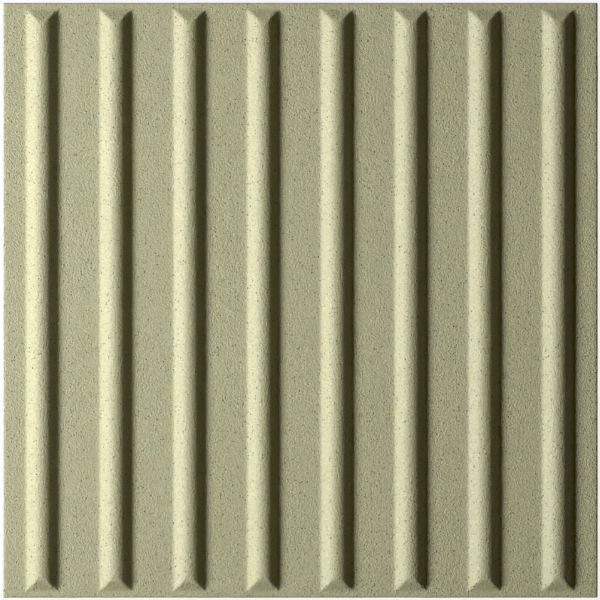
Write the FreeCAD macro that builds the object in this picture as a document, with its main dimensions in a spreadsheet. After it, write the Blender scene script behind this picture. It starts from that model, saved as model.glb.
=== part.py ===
import FreeCAD, Part
import math
import os
import Sketcher

# Tactile paving slab: one pressed concrete flag with rounded warning bars along its top face.
# It lies flat, with its underside on Z = 0 and its middle on the Z axis. The bars run along Y.

# Driving dimensions in millimetres: alias, value, and what it measures.
SIZES = (
    ("slab_width", 400, "slab across the bars, along X"),
    ("slab_length", 400, "slab along the bars, along Y"),
    ("slab_thickness", 50, "underside to the flat face between the bars"),
    ("arris_radius", 1.5, "rounding of the slab's top edges"),
    ("bar_pitch", 49.5, "middle of one bar to the middle of the next"),
    ("bar_width", 21, "bar from flank to flank at the level of the flat face"),
    ("bar_height", 6, "crown of a bar above the flat face"),
    ("flank_angle", 40, "slope of a bar's straight flanks, in degrees"),
    ("root_radius", 4, "hollow rounding where a bar meets the flat face"),
    ("bar_end_margin", 5, "slab's edge to the end of a bar"),
)
NODE = "paving_slab"

# As many bars as whole pitches fit across the slab, with the row of bars centred on it.
BAR_COUNT = "floor(Sizes.slab_width / Sizes.bar_pitch)"
FIRST_BAR = f"Sizes.bar_pitch * ({BAR_COUNT} - 1) / 2"
BAR_END = "Sizes.slab_length / 2 - Sizes.bar_end_margin"

# Numbers that a sketch gives to its origin and to the points of an edge.
ORIGIN = (-1, 1)
START, END, CENTRE = 1, 2, 3
DOWN = 1.5 * math.pi


def make_sheet(doc):
    """Spreadsheet with one aliased cell for each driving dimension."""
    sheet = doc.addObject("Spreadsheet::Sheet", "Sizes")
    for row, (alias, value, meaning) in enumerate(SIZES, start=1):
        sheet.set(f"A{row}", alias)
        sheet.set(f"B{row}", str(value))
        sheet.set(f"C{row}", meaning)
        sheet.setAlias(f"B{row}", alias)
    doc.recompute()
    return sheet


def origin_feature(body, role):
    """Plane or axis of the body's own origin."""
    return next(feature for feature in body.Origin.OriginFeatures if feature.Role == role)


def new_sketch(body, name, plane_role):
    """Empty sketch on one of the body's origin planes."""
    sketch = body.newObject("Sketcher::SketchObject", name)
    sketch.AttachmentSupport = [(origin_feature(body, plane_role), "")]
    sketch.MapMode = "FlatFace"
    return sketch


def add_lines(sketch, points, construction=False):
    """Straight edges from point to point, joined end to start. Returns their numbers."""
    ends = [FreeCAD.Vector(*point) for point in points]
    lines = []
    for first, last in zip(ends, ends[1:]):
        lines.append(sketch.addGeometry(Part.LineSegment(first, last), construction))
    for first, last in zip(lines, lines[1:]):
        constrain(sketch, "Coincident", first, END, last, START)
    return lines


def add_arc(sketch, centre, radius, first_angle, last_angle):
    """Arc of a circle, anticlockwise between two angles. Returns its number."""
    circle = Part.Circle(FreeCAD.Vector(*centre), FreeCAD.Vector(0, 0, 1), radius)
    return sketch.addGeometry(Part.ArcOfCircle(circle, first_angle, last_angle))


def constrain(sketch, kind, *where):
    """Geometric constraint, with no size of its own."""
    return sketch.addConstraint(Sketcher.Constraint(kind, *where))


def dimension(sketch, name, formula, kind, *where):
    """Named dimension that follows a formula of the sheet's cells."""
    number = constrain(sketch, kind, *where)
    sketch.renameConstraint(number, name)
    sketch.setExpression(f"Constraints.{name}", formula)


class Dome:
    """The rounded section that a bar has across its width, and again along its length at both ends.

    A round crown and two straight flanks, blended into the flat face by a hollow arc at each root.
    """

    def __init__(self, sheet):
        self.ground = sheet.slab_thickness
        self.height = sheet.bar_height
        self.half_width = sheet.bar_width / 2
        self.root = sheet.root_radius
        self.slope = math.radians(sheet.flank_angle)
        self.lean = math.pi / 2 - self.slope
        self.crown = self.ground + self.height
        self.radius = (self.half_width - self.height / math.tan(self.slope)) / math.tan(self.slope / 2)
        self.axis = self.crown - self.radius
        self.reach = self.half_width + self.root * math.tan(self.slope / 2)

    def flank(self, middle, side):
        """Top and foot of the flank on one side (1 or -1) of a bar's middle line."""
        sine, cosine = math.sin(self.slope), math.cos(self.slope)
        top = (middle + side * self.radius * sine, self.axis + self.radius * cosine)
        foot = (middle + side * (self.reach - self.root * sine), self.ground + self.root * (1 - cosine))
        return top, foot


def make_block(doc, body, sheet):
    """The flat slab, without its bars."""
    sketch = new_sketch(body, "SlabOutline", "XY_Plane")
    x = sheet.slab_width / 2
    y = sheet.slab_length / 2
    front, right, back, left = add_lines(sketch, [(-x, -y), (x, -y), (x, y), (-x, y), (-x, -y)])
    constrain(sketch, "Coincident", left, END, front, START)
    constrain(sketch, "Horizontal", front)
    constrain(sketch, "Vertical", right)
    constrain(sketch, "Horizontal", back)
    constrain(sketch, "Vertical", left)
    constrain(sketch, "Symmetric", front, START, back, START, *ORIGIN)
    dimension(sketch, "width", "Sizes.slab_width", "DistanceX", front, START, front, END, 2 * x)
    dimension(sketch, "length", "Sizes.slab_length", "DistanceY", right, START, right, END, 2 * y)

    block = body.newObject("PartDesign::Pad", "SlabBlock")
    block.Profile = sketch
    block.setExpression("Length", "Sizes.slab_thickness")
    doc.recompute()
    return block


def make_arris(doc, body, sheet, block):
    """Rounds the slab's four top edges."""
    middle = sheet.slab_thickness / 2
    top_edges = []
    for number, edge in enumerate(block.Shape.Edges, start=1):
        if edge.BoundBox.ZMin > middle:
            top_edges.append(f"Edge{number}")
    arris = body.newObject("PartDesign::Fillet", "Arris")
    arris.Base = (block, top_edges)
    arris.setExpression("Radius", "Sizes.arris_radius")
    doc.recompute()


def draw_bar_section(body, sheet, dome):
    """Section of the first bar: crown, flanks, hollow roots, and a base set into the slab."""
    sketch = new_sketch(body, "BarSection", "XZ_Plane")
    middle = -sheet.bar_pitch * (math.floor(sheet.slab_width / sheet.bar_pitch) - 1) / 2
    left = middle - dome.reach
    right = middle + dome.reach
    base = dome.ground - dome.height
    root_level = dome.ground + dome.root
    crown = add_arc(sketch, (middle, dome.axis), dome.radius, dome.lean, math.pi - dome.lean)
    right_root = add_arc(sketch, (right, root_level), dome.root, math.pi + dome.lean, DOWN)
    left_root = add_arc(sketch, (left, root_level), dome.root, DOWN, 2 * math.pi - dome.lean)
    (right_flank,) = add_lines(sketch, dome.flank(middle, 1))
    (left_flank,) = add_lines(sketch, dome.flank(middle, -1)[::-1])
    right_side, underside, left_side = add_lines(
        sketch, [(right, dome.ground), (right, base), (left, base), (left, dome.ground)]
    )
    chord_ends = [(middle - dome.half_width, dome.ground), (middle + dome.half_width, dome.ground)]
    (chord,) = add_lines(sketch, chord_ends, construction=True)
    (rise,) = add_lines(sketch, [(middle, dome.ground), (middle, dome.crown)], construction=True)

    constrain(sketch, "Tangent", crown, START, right_flank, START)
    constrain(sketch, "Tangent", right_flank, END, right_root, START)
    constrain(sketch, "Tangent", left_root, END, left_flank, START)
    constrain(sketch, "Tangent", left_flank, END, crown, END)
    constrain(sketch, "Coincident", right_root, END, right_side, START)
    constrain(sketch, "Coincident", left_side, END, left_root, START)
    constrain(sketch, "Vertical", right_root, CENTRE, right_root, END)
    constrain(sketch, "Vertical", left_root, CENTRE, left_root, START)
    constrain(sketch, "Equal", right_root, left_root)
    constrain(sketch, "Vertical", right_side)
    constrain(sketch, "Horizontal", underside)
    constrain(sketch, "Vertical", left_side)
    constrain(sketch, "Horizontal", chord)
    constrain(sketch, "PointOnObject", chord, START, left_flank)
    constrain(sketch, "PointOnObject", chord, END, right_flank)
    constrain(sketch, "Horizontal", right_root, END, chord, END)
    constrain(sketch, "Horizontal", left_root, START, chord, START)
    constrain(sketch, "Vertical", rise)
    constrain(sketch, "Symmetric", chord, START, chord, END, rise, START)
    constrain(sketch, "Vertical", rise, START, crown, CENTRE)
    constrain(sketch, "PointOnObject", rise, END, crown)

    chord_span = (chord, START, chord, END)
    rise_span = (rise, START, rise, END)
    base_span = (right_side, END, right_side, START)
    dimension(sketch, "bar_width", "Sizes.bar_width", "DistanceX", *chord_span, 2 * dome.half_width)
    dimension(sketch, "bar_height", "Sizes.bar_height", "DistanceY", *rise_span, dome.height)
    dimension(sketch, "flank_angle", "Sizes.flank_angle", "Angle", left_flank, dome.slope)
    dimension(sketch, "root_radius", "Sizes.root_radius", "Radius", right_root, dome.root)
    dimension(sketch, "ground", "Sizes.slab_thickness", "DistanceY", *ORIGIN, rise, START, dome.ground)
    dimension(sketch, "first_bar", FIRST_BAR, "DistanceX", rise, START, *ORIGIN, -middle)
    dimension(sketch, "depth", "Sizes.bar_height", "DistanceY", *base_span, dome.height)

    # Measured, not set: the width of the bar over its two roots.
    foot = constrain(sketch, "DistanceX", left_root, START, right_root, END, 2 * dome.reach)
    sketch.setDriving(foot, False)
    sketch.renameConstraint(foot, "foot_width")
    return sketch


def make_bars(doc, body, sheet, dome):
    """One straight bar as long as its end roots reach, repeated across the slab."""
    bar = body.newObject("PartDesign::Pad", "Bar")
    bar.Profile = draw_bar_section(body, sheet, dome)
    bar.SideType = "Symmetric"
    bar.setExpression(
        "Length", f"2 * ({BAR_END}) + BarSection.Constraints.foot_width / 1 mm - Sizes.bar_width"
    )
    doc.recompute()

    bars = body.newObject("PartDesign::LinearPattern", "Bars")
    bars.Originals = [bar]
    bars.Direction = (origin_feature(body, "X_Axis"), [""])
    bars.Mode = "Spacing"
    bars.setExpression("Offset", "Sizes.bar_pitch")
    bars.setExpression("Occurrences", BAR_COUNT)
    body.Tip = bars
    doc.recompute()


def draw_bar_end(body, sheet, dome):
    """What is taken off beyond the rounded end of a bar, for the ends at +Y."""
    sketch = new_sketch(body, "BarEnd", "YZ_Plane")
    tip = sheet.slab_length / 2 - sheet.bar_end_margin
    middle = tip - dome.half_width
    foot = middle + dome.reach
    clear = 2 * dome.height
    lid_level = dome.ground + clear
    crown = add_arc(sketch, (middle, dome.axis), dome.radius, dome.lean, math.pi / 2)
    root = add_arc(sketch, (foot, dome.ground + dome.root), dome.root, math.pi + dome.lean, DOWN)
    (flank,) = add_lines(sketch, dome.flank(middle, 1))
    ramp, lid, drop = add_lines(
        sketch,
        [(foot, dome.ground), (foot + clear, lid_level), (middle, lid_level), (middle, dome.crown)],
    )
    (half_chord,) = add_lines(sketch, [(middle, dome.ground), (tip, dome.ground)], construction=True)
    (rise,) = add_lines(sketch, [(middle, dome.ground), (middle, dome.crown)], construction=True)

    constrain(sketch, "Tangent", crown, START, flank, START)
    constrain(sketch, "Tangent", flank, END, root, START)
    constrain(sketch, "Coincident", root, END, ramp, START)
    constrain(sketch, "Coincident", drop, END, crown, END)
    constrain(sketch, "Vertical", root, CENTRE, root, END)
    constrain(sketch, "Horizontal", lid)
    constrain(sketch, "Vertical", drop)
    constrain(sketch, "Horizontal", half_chord)
    constrain(sketch, "PointOnObject", half_chord, END, flank)
    constrain(sketch, "Vertical", half_chord, START, crown, CENTRE)
    constrain(sketch, "Horizontal", root, END, half_chord, END)
    constrain(sketch, "Coincident", rise, START, half_chord, START)
    constrain(sketch, "Vertical", rise)
    constrain(sketch, "Coincident", rise, END, crown, END)

    chord_span = (half_chord, START, half_chord, END)
    rise_span = (rise, START, rise, END)
    ramp_span = (ramp, START, ramp, END)
    dimension(sketch, "half_width", "Sizes.bar_width / 2", "DistanceX", *chord_span, dome.half_width)
    dimension(sketch, "bar_height", "Sizes.bar_height", "DistanceY", *rise_span, dome.height)
    dimension(sketch, "flank_angle", "-Sizes.flank_angle", "Angle", flank, -dome.slope)
    dimension(sketch, "root_radius", "Sizes.root_radius", "Radius", root, dome.root)
    dimension(sketch, "ground", "Sizes.slab_thickness", "DistanceY", *ORIGIN, rise, START, dome.ground)
    dimension(sketch, "tip", BAR_END, "DistanceX", *ORIGIN, half_chord, END, tip)
    dimension(sketch, "clear_along", "2 * Sizes.bar_height", "DistanceX", *ramp_span, clear)
    dimension(sketch, "clear_above", "2 * Sizes.bar_height", "DistanceY", *ramp_span, clear)
    return sketch


def make_bar_ends(doc, body, sheet, dome):
    """Rounds off all the bars at one end, and the other end as its mirror image."""
    end_cut = body.newObject("PartDesign::Pocket", "BarEnds")
    end_cut.Profile = draw_bar_end(body, sheet, dome)
    end_cut.SideType = "Symmetric"
    end_cut.setExpression("Length", "Sizes.slab_width")
    doc.recompute()

    both_ends = body.newObject("PartDesign::Mirrored", "BothEnds")
    both_ends.Originals = [end_cut]
    both_ends.MirrorPlane = (origin_feature(body, "XZ_Plane"), [""])
    body.Tip = both_ends
    doc.recompute()


def check_model(doc, body):
    """Stops before anything is written if a step failed, a sketch is loose or a cut took nothing off."""
    for item in doc.Objects:
        if "Invalid" in item.State or "Error" in item.State:
            raise RuntimeError(f"{item.Name} failed: {item.State}")
        if item.TypeId == "Sketcher::SketchObject" and not item.FullyConstrained:
            raise RuntimeError(f"{item.Name} is not fully constrained")
    steps = ("Bars", "BarEnds", "BothEnds")
    before, one_end, two_ends = (doc.getObject(name).Shape.Volume for name in steps)
    if not before > one_end > two_ends:
        raise RuntimeError("the bar ends were not cut")
    shape = body.Shape
    if shape.isNull() or not shape.isValid() or len(shape.Solids) != 1:
        raise RuntimeError(f"{body.Label} is not one valid solid")


def main():
    doc = FreeCAD.newDocument("TactilePavingSlab")
    sheet = make_sheet(doc)
    body = doc.addObject("PartDesign::Body", "PavingSlab")
    body.Label = NODE
    body.Placement = FreeCAD.Placement()
    dome = Dome(sheet)
    block = make_block(doc, body, sheet)
    make_arris(doc, body, sheet, block)
    make_bars(doc, body, sheet, dome)
    make_bar_ends(doc, body, sheet, dome)
    check_model(doc, body)
    os.makedirs("parts", exist_ok=True)
    body.Shape.exportStep(f"parts/{body.Label}.step")


main()
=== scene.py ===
import math

import bpy
import numpy as np
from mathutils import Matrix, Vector, noise


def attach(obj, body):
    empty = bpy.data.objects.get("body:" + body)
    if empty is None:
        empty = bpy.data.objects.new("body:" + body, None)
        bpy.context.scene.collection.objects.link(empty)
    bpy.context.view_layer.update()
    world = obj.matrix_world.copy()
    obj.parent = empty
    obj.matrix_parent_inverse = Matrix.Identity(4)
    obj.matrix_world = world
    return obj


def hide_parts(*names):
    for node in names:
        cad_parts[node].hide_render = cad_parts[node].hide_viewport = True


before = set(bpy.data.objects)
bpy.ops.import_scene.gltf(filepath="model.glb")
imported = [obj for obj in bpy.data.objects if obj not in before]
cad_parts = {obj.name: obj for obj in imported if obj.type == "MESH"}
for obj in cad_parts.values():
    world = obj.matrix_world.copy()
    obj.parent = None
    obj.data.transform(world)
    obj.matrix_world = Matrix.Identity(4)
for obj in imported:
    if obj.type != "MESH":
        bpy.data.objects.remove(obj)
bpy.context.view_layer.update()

NODE = "paving_slab"

# Sizes of the slab in millimetres, as the solid has them.
HALF = 200.0
GROUND = 50.0
ARRIS = 1.5
BAR_COUNT = 8
PITCH = 49.5
BAR_HEIGHT = 6.0
HALF_WIDTH = 10.5
FLANK = math.radians(40.0)
ROOT = 4.0
END_MARGIN = 5.0

# The bars' rounded section: a round crown, straight flanks, and hollow roots on the flat face.
CROWN = (HALF_WIDTH - BAR_HEIGHT / math.tan(FLANK)) / math.tan(FLANK / 2)
FLANK_TOP = CROWN * math.sin(FLANK)
REACH = HALF_WIDTH + ROOT * math.tan(FLANK / 2)
FLANK_FOOT = REACH - ROOT * math.sin(FLANK)
END_CENTRE = HALF - END_MARGIN - HALF_WIDTH
MIDDLES = PITCH * (np.arange(BAR_COUNT) - (BAR_COUNT - 1) / 2)

# Fine forms that only the visible slab has: blunt corners, an eased bottom edge and softened mitres.
CORNER = 1.2
FOOT_EASE = 0.6
MITRE_EASE = 0.5
EASE_RUN = 2.0
EASE_RISE = 1.5

# Unevenness of the pressed faces: size of the waves, their depth, and where in the noise they start.
UNEVEN = (
    (34.0, 0.1, (0, 0, 0)),
    (9.0, 0.08, (31, 7, 3)),
    (2.6, 0.03, (5, 17, 29)),
)

# Chips out of the top edges: their size, depth and start, and the noise level above which one shows.
CHIP_SIZE = 5.0
CHIP_DEPTH = 0.7
CHIP_START = (11, 3, 41)
CHIP_LEVEL = 0.25

# Faces that count as an edge: how upright their direction is in the middle, and how far either way.
EDGE_SLANT = 0.5
EDGE_RANGE = 0.42

# How finely the mesh follows the form.
CROWN_STEPS = 6
FLANK_STEPS = 2
ROOT_STEPS = 3
ARRIS_STEPS = 4
FOOT_STEPS = 3
WALL_STEPS = 13
FLAT_STEP = 1.7
ALONG_STEP = 1.9

# Shares of the flat map: the top face's side, the strip of each side face, and the underside's scale.
MAP_TOP = 0.8
MAP_STRIP = 0.1
MAP_GAP = 0.002
MAP_UNDERSIDE = 0.22

# Colours of the concrete: its body, its grains of sand, its dark specks, and painted shade in the pores
# of its sides.
BUFF_DARK = (0.37, 0.358, 0.199, 1)
BUFF_PALE = (0.41, 0.398, 0.23, 1)
BUFF_GREEN = (0.374, 0.381, 0.219, 1)
SAND_DARK = (0.16, 0.15, 0.07, 1)
SAND_PALE = (0.66, 0.65, 0.46, 1)
SAND_SHARE = 0.18
DARK_SPECK = (0.06, 0.053, 0.022, 1)
# Painted shade: the dark colour laid into the pores of the side faces.
PORE_SHADE = (0.12, 0.11, 0.06, 1)
WHITE = (1, 1, 1, 1)

# Finish of the concrete: depth of its grain in metres, and its least and greatest roughness.
BUMP_DEPTH = 0.00033
SMOOTHEST = 0.54
ROUGHEST = 0.68

# The studio in metres and watts: a soft lamp that rakes in from the left, and a camera far above.
LAMP_PLACE = (-1.645, 0.025, 1.0)
LAMP_TARGET = (0.0, 0.025, 0.05)
LAMP_SIZE = (0.64, 0.57)
LAMP_SPREAD = math.radians(69.0)
LAMP_POWER = 10.75
FILL_COLOUR = (1.0, 0.83, 0.06, 1)
FILL_STRENGTH = 0.043
FLOOR_REACH = 6.0
CAMERA_PLACE = (-0.00015, 0.00016, 4.05)
CAMERA_LENS = 357.5
CAMERA_SENSOR = 36.0


def section_lines():
    """Distances from a bar's middle line, from the crown out to the foot, for the lines of the mesh."""
    crown = CROWN * np.sin(np.linspace(0, FLANK, CROWN_STEPS + 1))
    flank = np.linspace(FLANK_TOP, FLANK_FOOT, FLANK_STEPS + 1)
    root = REACH - ROOT * np.sin(np.linspace(FLANK, 0, ROOT_STEPS + 1))
    return np.concatenate([crown, flank[1:], root[1:]])


def even_lines(first, last, step):
    """Evenly spaced lines between two places, both left out."""
    count = max(1, round(abs(last - first) / step))
    return np.linspace(first, last, count + 1)[1:-1]


def edge_lines():
    """Lines over the rounded top edge, from the side face inwards."""
    turn = np.linspace(0, math.pi / 2, ARRIS_STEPS + 1)
    return HALF - ARRIS * (1 - np.cos(turn))


def lines_across():
    """X of every mesh line, across the bars."""
    out = section_lines()
    bar = np.concatenate([-out[:0:-1], out])
    rows = [-edge_lines(), even_lines(-edge_lines()[-1], MIDDLES[0] - REACH, FLAT_STEP)]
    for middle in MIDDLES:
        if middle > MIDDLES[0]:
            rows.append(even_lines(middle - PITCH + REACH, middle - REACH, FLAT_STEP))
        rows.append(middle + bar)
    rows.append(even_lines(MIDDLES[-1] + REACH, edge_lines()[-1], FLAT_STEP))
    rows.append(edge_lines()[::-1])
    return np.concatenate(rows)


def lines_along():
    """Y of every mesh line, along the bars."""
    end = END_CENTRE + section_lines()
    flat = even_lines(edge_lines()[-1], end[-1], FLAT_STEP)
    upper = np.concatenate([end, flat[::-1], edge_lines()[::-1]])
    return np.concatenate([-upper[::-1], even_lines(-END_CENTRE, END_CENTRE, ALONG_STEP), upper])


def from_bar(x):
    """Distance from the middle line of the nearest bar."""
    return np.abs(x[..., None] - MIDDLES).min(axis=-1)


def bar_rise(distance):
    """Height of a bar's section above the flat face, at a distance from its middle line."""
    crown = BAR_HEIGHT - CROWN + np.sqrt(np.maximum(CROWN**2 - distance**2, 0))
    flank = (HALF_WIDTH - distance) * math.tan(FLANK)
    root = ROOT - np.sqrt(np.maximum(ROOT**2 - (REACH - distance) ** 2, 0))
    zones = [distance < FLANK_TOP, distance < FLANK_FOOT, distance < REACH]
    return np.select(zones, [crown, flank, root], 0.0)


def edge_drop(place):
    """How far the rounded edge lies below the flat face."""
    inside = np.minimum(HALF - np.abs(place), ARRIS)
    return ARRIS - np.sqrt(np.maximum(ARRIS**2 - (ARRIS - inside) ** 2, 0))


def top_height(x, y):
    """Height of the slab's top face, with its bars, their softened mitres and the rounded edges."""
    beyond = np.maximum(np.abs(y) - END_CENTRE, 0)
    side = bar_rise(from_bar(x))
    end = bar_rise(beyond)
    ease = MITRE_EASE * np.clip(beyond / EASE_RUN, 0, 1) * np.clip(side / EASE_RISE, 0, 1)
    near = np.maximum(ease - np.abs(side - end), 0) / np.maximum(ease, 1e-9)
    bar = np.minimum(side, end) - near**2 * ease / 4
    return GROUND + bar - np.maximum(edge_drop(x), edge_drop(y))


def outward(top):
    """Directions out of the top face, which turn over the rounded edge."""
    normals = np.zeros_like(top)
    for axis in (0, 1):
        out = np.clip(1 - (HALF - np.abs(top[:, axis])) / ARRIS, 0, 1)
        normals[:, axis] = np.sign(top[:, axis]) * out
    flat = np.linalg.norm(normals[:, :2], axis=1)
    normals[:, 2] = np.sqrt(np.maximum(1 - np.minimum(flat, 1) ** 2, 0))
    return normals / np.linalg.norm(normals, axis=1)[:, None]


def wall_levels():
    """Height of each row of the wall and how far it is drawn in, the last few under the bottom edge."""
    turn = np.linspace(0, math.pi / 2, FOOT_STEPS + 1)[1:]
    straight = np.linspace(GROUND - ARRIS, FOOT_EASE, WALL_STEPS + 1)[1:]
    levels = np.concatenate([straight, FOOT_EASE * (1 - np.sin(turn))])
    drawn_in = np.concatenate([np.zeros(WALL_STEPS), FOOT_EASE * (1 - np.cos(turn))])
    return list(zip(levels, drawn_in))


def round_corners(points):
    """Draws in the four upright corners, which are a little blunt."""
    inner = HALF - CORNER
    part = np.clip((np.abs(points[:, :2]) - inner) / CORNER, 0, 1)
    other = part[:, ::-1]
    drawn = inner + CORNER * part * np.sqrt(1 - other**2 / 2)
    corner = (part > 0).all(axis=1)
    points[corner, :2] = np.sign(points[corner, :2]) * drawn[corner]


def relief(points, normals):
    """Slight unevenness of the pressed faces, always inwards: waves, fine pitting and chipped edges."""
    depth = np.zeros(len(points))
    slanting = np.abs(np.abs(normals[:, 2]) - EDGE_SLANT) < EDGE_RANGE
    on_edge = slanting & (np.abs(points[:, 2] - GROUND) < 2 * ARRIS)
    for number, point in enumerate(points):
        place = Vector(point)
        for size, most, start in UNEVEN:
            depth[number] += most * (1 + noise.noise(place / size + Vector(start)))
        if on_edge[number]:
            chip = noise.noise(place / CHIP_SIZE + Vector(CHIP_START)) - CHIP_LEVEL
            depth[number] += CHIP_DEPTH * max(chip, 0)
    points -= normals * depth[:, None]


def top_faces(xs, ys, index):
    """Quads of the top grid, cut along the mitre of each bar's end so that its edge runs straight."""
    across = from_bar(xs)
    beyond = np.abs(ys) - END_CENTRE
    near = 1e-6
    faces = []
    for j in range(len(ys) - 1):
        on_end = min(beyond[j], beyond[j + 1]) > -near and max(beyond[j], beyond[j + 1]) < REACH + near
        for i in range(len(xs) - 1):
            a, b = index[j, i], index[j, i + 1]
            c, d = index[j + 1, i + 1], index[j + 1, i]
            step = max(across[i], across[i + 1]) - max(beyond[j], beyond[j + 1])
            if not (on_end and abs(step) < near):
                faces.append([a, b, c, d])
            elif (across[i] < across[i + 1]) == (beyond[j] < beyond[j + 1]):
                faces += [[a, b, c], [a, c, d]]
            else:
                faces += [[a, b, d], [b, c, d]]
    return faces


def build_slab():
    """The slab as one closed mesh: a fine grid on top, walls below its border, and a flat underside."""
    xs = lines_across()
    ys = lines_along()
    grid_x, grid_y = np.meshgrid(xs, ys)
    top = np.stack([grid_x, grid_y, top_height(grid_x, grid_y)], axis=-1).reshape(-1, 3)
    index = np.arange(len(top)).reshape(len(ys), len(xs))
    border = np.concatenate([index[0, :-1], index[:-1, -1], index[-1, :0:-1], index[:0:-1, 0]])
    normals = outward(top)
    out = normals[border] * (1, 1, 0)
    out /= np.linalg.norm(out, axis=1)[:, None]

    points = [top]
    directions = [normals]
    for level, drawn_in in wall_levels():
        row = top[border].copy()
        row[:, :2] *= 1 - drawn_in / HALF
        row[:, 2] = level
        points.append(row)
        directions.append(out)
    points = np.concatenate(points)
    directions = np.concatenate(directions)
    directions[points[:, 2] < FOOT_EASE / 2] = 0
    round_corners(points)
    relief(points, directions)

    faces = top_faces(xs, ys, index)
    top_count = len(faces)
    ring = len(border)
    after = np.roll(np.arange(ring), -1)
    rows = [border] + [len(top) + ring * k + np.arange(ring) for k in range(len(wall_levels()))]
    for upper, lower in zip(rows, rows[1:]):
        faces += np.stack([upper, lower, lower[after], upper[after]], axis=1).tolist()
    wall_count = len(faces) - top_count
    faces.append(rows[-1][::-1].tolist())

    mesh = bpy.data.meshes.new("tactile_slab")
    mesh.from_pydata((points / 1000).tolist(), [], faces)
    mesh.validate()
    smooth = np.ones(len(faces), bool)
    smooth[-1] = False
    mesh.polygons.foreach_set("use_smooth", smooth)
    lay_out_map(mesh, points, top_count, wall_count)
    mesh.update()
    slab = bpy.data.objects.new("tactile_slab", mesh)
    bpy.context.collection.objects.link(slab)
    return slab


def lay_out_map(mesh, points, top_count, wall_count):
    """Flat map of the surface: the top face large, the four sides beside it, the underside small."""
    layer = mesh.uv_layers.new(name="OFBake")
    scale = MAP_TOP / (2 * HALF)
    for polygon in mesh.polygons:
        corners = points[[mesh.loops[loop].vertex_index for loop in polygon.loop_indices]]
        if polygon.index < top_count:
            places = (corners[:, :2] + HALF) * scale
        elif polygon.index < top_count + wall_count:
            middle = corners.mean(axis=0)
            facing = int(abs(middle[1]) > abs(middle[0]))
            along = (corners[:, 1 - facing] + HALF) * scale
            up = np.clip(corners[:, 2] / GROUND, 0, 1) * (MAP_STRIP - 2 * MAP_GAP) + MAP_GAP
            up += MAP_TOP + MAP_STRIP * (middle[facing] > 0)
            places = np.stack([along, up] if facing else [up, along], axis=1)
        else:
            places = MAP_TOP + 5 * MAP_GAP + (corners[:, :2] + HALF) * scale * MAP_UNDERSIDE
        for loop, place in zip(polygon.loop_indices, places):
            layer.uv[loop].vector = place


class NodeTree:
    """Small helper that adds a node, sets its plain inputs and links the others."""

    def __init__(self, tree):
        self.tree = tree
        tree.nodes.clear()

    def add(self, kind, inputs=None, **settings):
        node = self.tree.nodes.new(kind)
        for name, value in settings.items():
            setattr(node, name, value)
        for key, value in (inputs or {}).items():
            if isinstance(value, bpy.types.NodeSocket):
                self.tree.links.new(value, node.inputs[key])
            else:
                node.inputs[key].default_value = value
        return node

    def math(self, operation, first, second):
        return self.add("ShaderNodeMath", {0: first, 1: second}, operation=operation).outputs[0]

    def times_add(self, value, factor, other):
        inputs = {0: value, 1: factor, 2: other}
        return self.add("ShaderNodeMath", inputs, operation="MULTIPLY_ADD").outputs[0]

    def noise(self, place, scale, detail, roughness=0.5):
        inputs = {"Vector": place, "Scale": scale, "Detail": detail, "Roughness": roughness}
        return self.add("ShaderNodeTexNoise", inputs).outputs["Fac"]

    def between(self, value, low, high, to_low=0.0, to_high=1.0):
        inputs = {"Value": value, 1: low, 2: high, 3: to_low, 4: to_high}
        return self.add("ShaderNodeMapRange", inputs, clamp=True).outputs[0]

    def mix(self, factor, first, second):
        return self.add("ShaderNodeMix", {0: factor, 6: first, 7: second}, data_type="RGBA").outputs[2]


def cells(nodes, place, scale):
    """Scattered round cells: distance from a cell's middle, and a chance of its own for each cell."""
    node = nodes.add("ShaderNodeTexVoronoi", {"Vector": place, "Scale": scale, "Randomness": 1.0})
    chance = nodes.add("ShaderNodeSeparateColor", {0: node.outputs["Color"]}).outputs[0]
    return node.outputs["Distance"], chance


def spots(nodes, place, scale, share, size):
    """Scattered round spots of mixed sizes: 1 in the middle of a spot, 0 outside."""
    distance, chance = cells(nodes, place, scale)
    radius = nodes.between(chance, 1 - share, 1.0, 0.0, size)
    inner = nodes.math("MULTIPLY", radius, 0.45)
    inputs = {"Value": distance, 1: radius, 2: inner, 3: 0.0, 4: 1.0}
    spot = nodes.add("ShaderNodeMapRange", inputs, interpolation_type="SMOOTHSTEP").outputs[0]
    return nodes.math("MULTIPLY", spot, nodes.math("GREATER_THAN", radius, 0.001))


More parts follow.
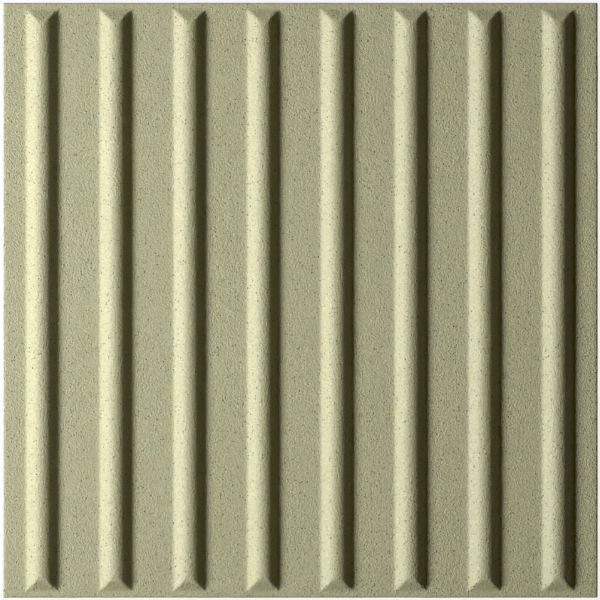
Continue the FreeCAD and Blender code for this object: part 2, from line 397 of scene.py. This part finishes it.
def concrete():
    """Buff pressed concrete: sandy grain, dark specks, faint clouding, and open pores in the sides,
    darkened with painted shade.
    """
    material = bpy.data.materials.new("buff_concrete")
    material.use_nodes = True
    nodes = NodeTree(material.node_tree)
    coords = nodes.add("ShaderNodeTexCoord")
    inputs = {0: coords.outputs["Object"], "Scale": 1000.0}
    place = nodes.add("ShaderNodeVectorMath", inputs, operation="SCALE").outputs[0]
    facing = nodes.add("ShaderNodeSeparateXYZ", {0: coords.outputs["Normal"]}).outputs["Z"]
    rough_side = nodes.between(facing, 0.4, 0.1)

    # Patterns, with their scales per millimetre.
    sand = nodes.noise(place, 1.0, 2.0, 0.55)
    grain = nodes.noise(place, 0.6, 2.0, 0.55)
    cloud = nodes.noise(place, 0.035, 3.0)
    tint = nodes.noise(place, 0.09, 2.0)
    shade = cells(nodes, place, 1.3)[1]
    # Dark specks: small spots painted very dark and sunk as pits in the bump.
    dark_specks = nodes.math("MULTIPLY", spots(nodes, place, 0.6, 0.56, 0.38), 0.9)
    flecks = nodes.math("MULTIPLY", spots(nodes, place, 0.24, 0.36, 0.2), 0.85)
    # Pores of the side faces: pits in the bump, and painted shade in the colour.
    pore_pits_and_shade = nodes.math("MULTIPLY", spots(nodes, place, 0.13, 0.5, 0.3), rough_side)
    dark = nodes.math("MAXIMUM", dark_specks, flecks)

    # Colour: a clouded body, a tone of its own for each grain of sand, then dark specks, and painted
    # shade in the pores.
    body = nodes.mix(nodes.between(cloud, 0.3, 0.7), BUFF_DARK, BUFF_PALE)
    body = nodes.mix(nodes.between(tint, 0.35, 0.65), body, BUFF_GREEN)
    dark_sand = nodes.mix(SAND_SHARE, body, SAND_DARK)
    pale_sand = nodes.mix(SAND_SHARE, body, SAND_PALE)
    body = nodes.mix(shade, dark_sand, pale_sand)
    body = nodes.mix(dark, body, DARK_SPECK)
    # Painted shade: the pores are darkened as if shade lay in them.
    body = nodes.mix(nodes.math("MULTIPLY", pore_pits_and_shade, 0.6), body, PORE_SHADE)

    # Bump: the grain stands up, the dark specks and the pores are pits.
    height = nodes.times_add(grain, 0.9, nodes.math("MULTIPLY", sand, 1.6))
    height = nodes.math("SUBTRACT", height, nodes.math("MULTIPLY", dark, 0.6))
    height = nodes.math("SUBTRACT", height, nodes.math("MULTIPLY", pore_pits_and_shade, 2.5))
    bump = nodes.add("ShaderNodeBump", {"Strength": 1.0, "Distance": BUMP_DEPTH, "Height": height})

    shader = nodes.add("ShaderNodeBsdfPrincipled", {
        "Base Color": body,
        "Roughness": nodes.between(grain, 0.3, 0.7, SMOOTHEST, ROUGHEST),
        "Diffuse Roughness": 0.25,
        "Specular IOR Level": 0.8,
        "Normal": bump.outputs[0],
    })
    nodes.add("ShaderNodeOutputMaterial", {"Surface": shader.outputs[0]})
    return material


def seen_directly(nodes):
    """1 for what the camera sees, directly or through a reflection or glass."""
    path = nodes.add("ShaderNodeLightPath")
    seen = nodes.math("MAXIMUM", path.outputs["Is Camera Ray"], path.outputs["Is Glossy Ray"])
    return nodes.math("MAXIMUM", seen, path.outputs["Is Transmission Ray"])


def make_floor():
    """Plain white floor that keeps a faint shadow."""
    mesh = bpy.data.meshes.new("floor")
    corners = [(x * FLOOR_REACH, y * FLOOR_REACH, 0) for x, y in ((-1, -1), (1, -1), (1, 1), (-1, 1))]
    mesh.from_pydata(corners, [], [(0, 1, 2, 3)])
    floor = bpy.data.objects.new("floor", mesh)
    bpy.context.collection.objects.link(floor)
    material = bpy.data.materials.new("white_floor")
    material.use_nodes = True
    nodes = NodeTree(material.node_tree)
    matt = nodes.add("ShaderNodeBsdfDiffuse", {"Color": (0.8, 0.8, 0.8, 1)})
    glow = nodes.add("ShaderNodeEmission", {"Color": WHITE, "Strength": 1.0})
    share = nodes.math("MULTIPLY", seen_directly(nodes), 0.88)
    mixed = nodes.add("ShaderNodeMixShader", {0: share, 1: matt.outputs[0], 2: glow.outputs[0]})
    nodes.add("ShaderNodeOutputMaterial", {"Surface": mixed.outputs[0]})
    mesh.materials.append(material)


def make_world():
    """White around the horizon where the camera sees it, and a weak warm fill overhead."""
    world = bpy.data.worlds.new("studio")
    world.use_nodes = True
    bpy.context.scene.world = world
    nodes = NodeTree(world.node_tree)
    coords = nodes.add("ShaderNodeTexCoord")
    up = nodes.add("ShaderNodeSeparateXYZ", {0: coords.outputs["Generated"]}).outputs["Z"]
    low = nodes.between(up, 0.22, 0.12)
    fill = nodes.add("ShaderNodeBackground", {"Color": FILL_COLOUR, "Strength": FILL_STRENGTH})
    white = nodes.add("ShaderNodeBackground", {"Color": WHITE, "Strength": 0.97})
    share = nodes.math("MULTIPLY", seen_directly(nodes), low)
    mixed = nodes.add("ShaderNodeMixShader", {0: share, 1: fill.outputs[0], 2: white.outputs[0]})
    nodes.add("ShaderNodeOutputWorld", {"Surface": mixed.outputs[0]})


def make_lamp():
    """Soft rectangular lamp with a narrow beam, so that the light fades towards the slab's edges."""
    data = bpy.data.lights.new("key", "AREA")
    data.shape = "RECTANGLE"
    data.size, data.size_y = LAMP_SIZE
    data.energy = LAMP_POWER
    data.spread = LAMP_SPREAD
    lamp = bpy.data.objects.new("key", data)
    lamp.location = LAMP_PLACE
    aim = Vector(LAMP_TARGET) - Vector(LAMP_PLACE)
    lamp.rotation_euler = aim.to_track_quat("-Z", "Y").to_euler()
    bpy.context.collection.objects.link(lamp)


def make_camera():
    """Long lens that looks straight down, with the bars running up the picture."""
    data = bpy.data.cameras.new("camera")
    data.sensor_width = CAMERA_SENSOR
    data.lens = CAMERA_LENS
    camera = bpy.data.objects.new("camera", data)
    camera.location = CAMERA_PLACE
    bpy.context.collection.objects.link(camera)
    bpy.context.scene.camera = camera


slab = build_slab()
slab.data.materials.append(concrete())
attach(slab, "root")
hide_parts(NODE)

make_floor()
make_world()
make_lamp()
make_camera()

bpy.context.scene.view_settings.view_transform = "Standard"
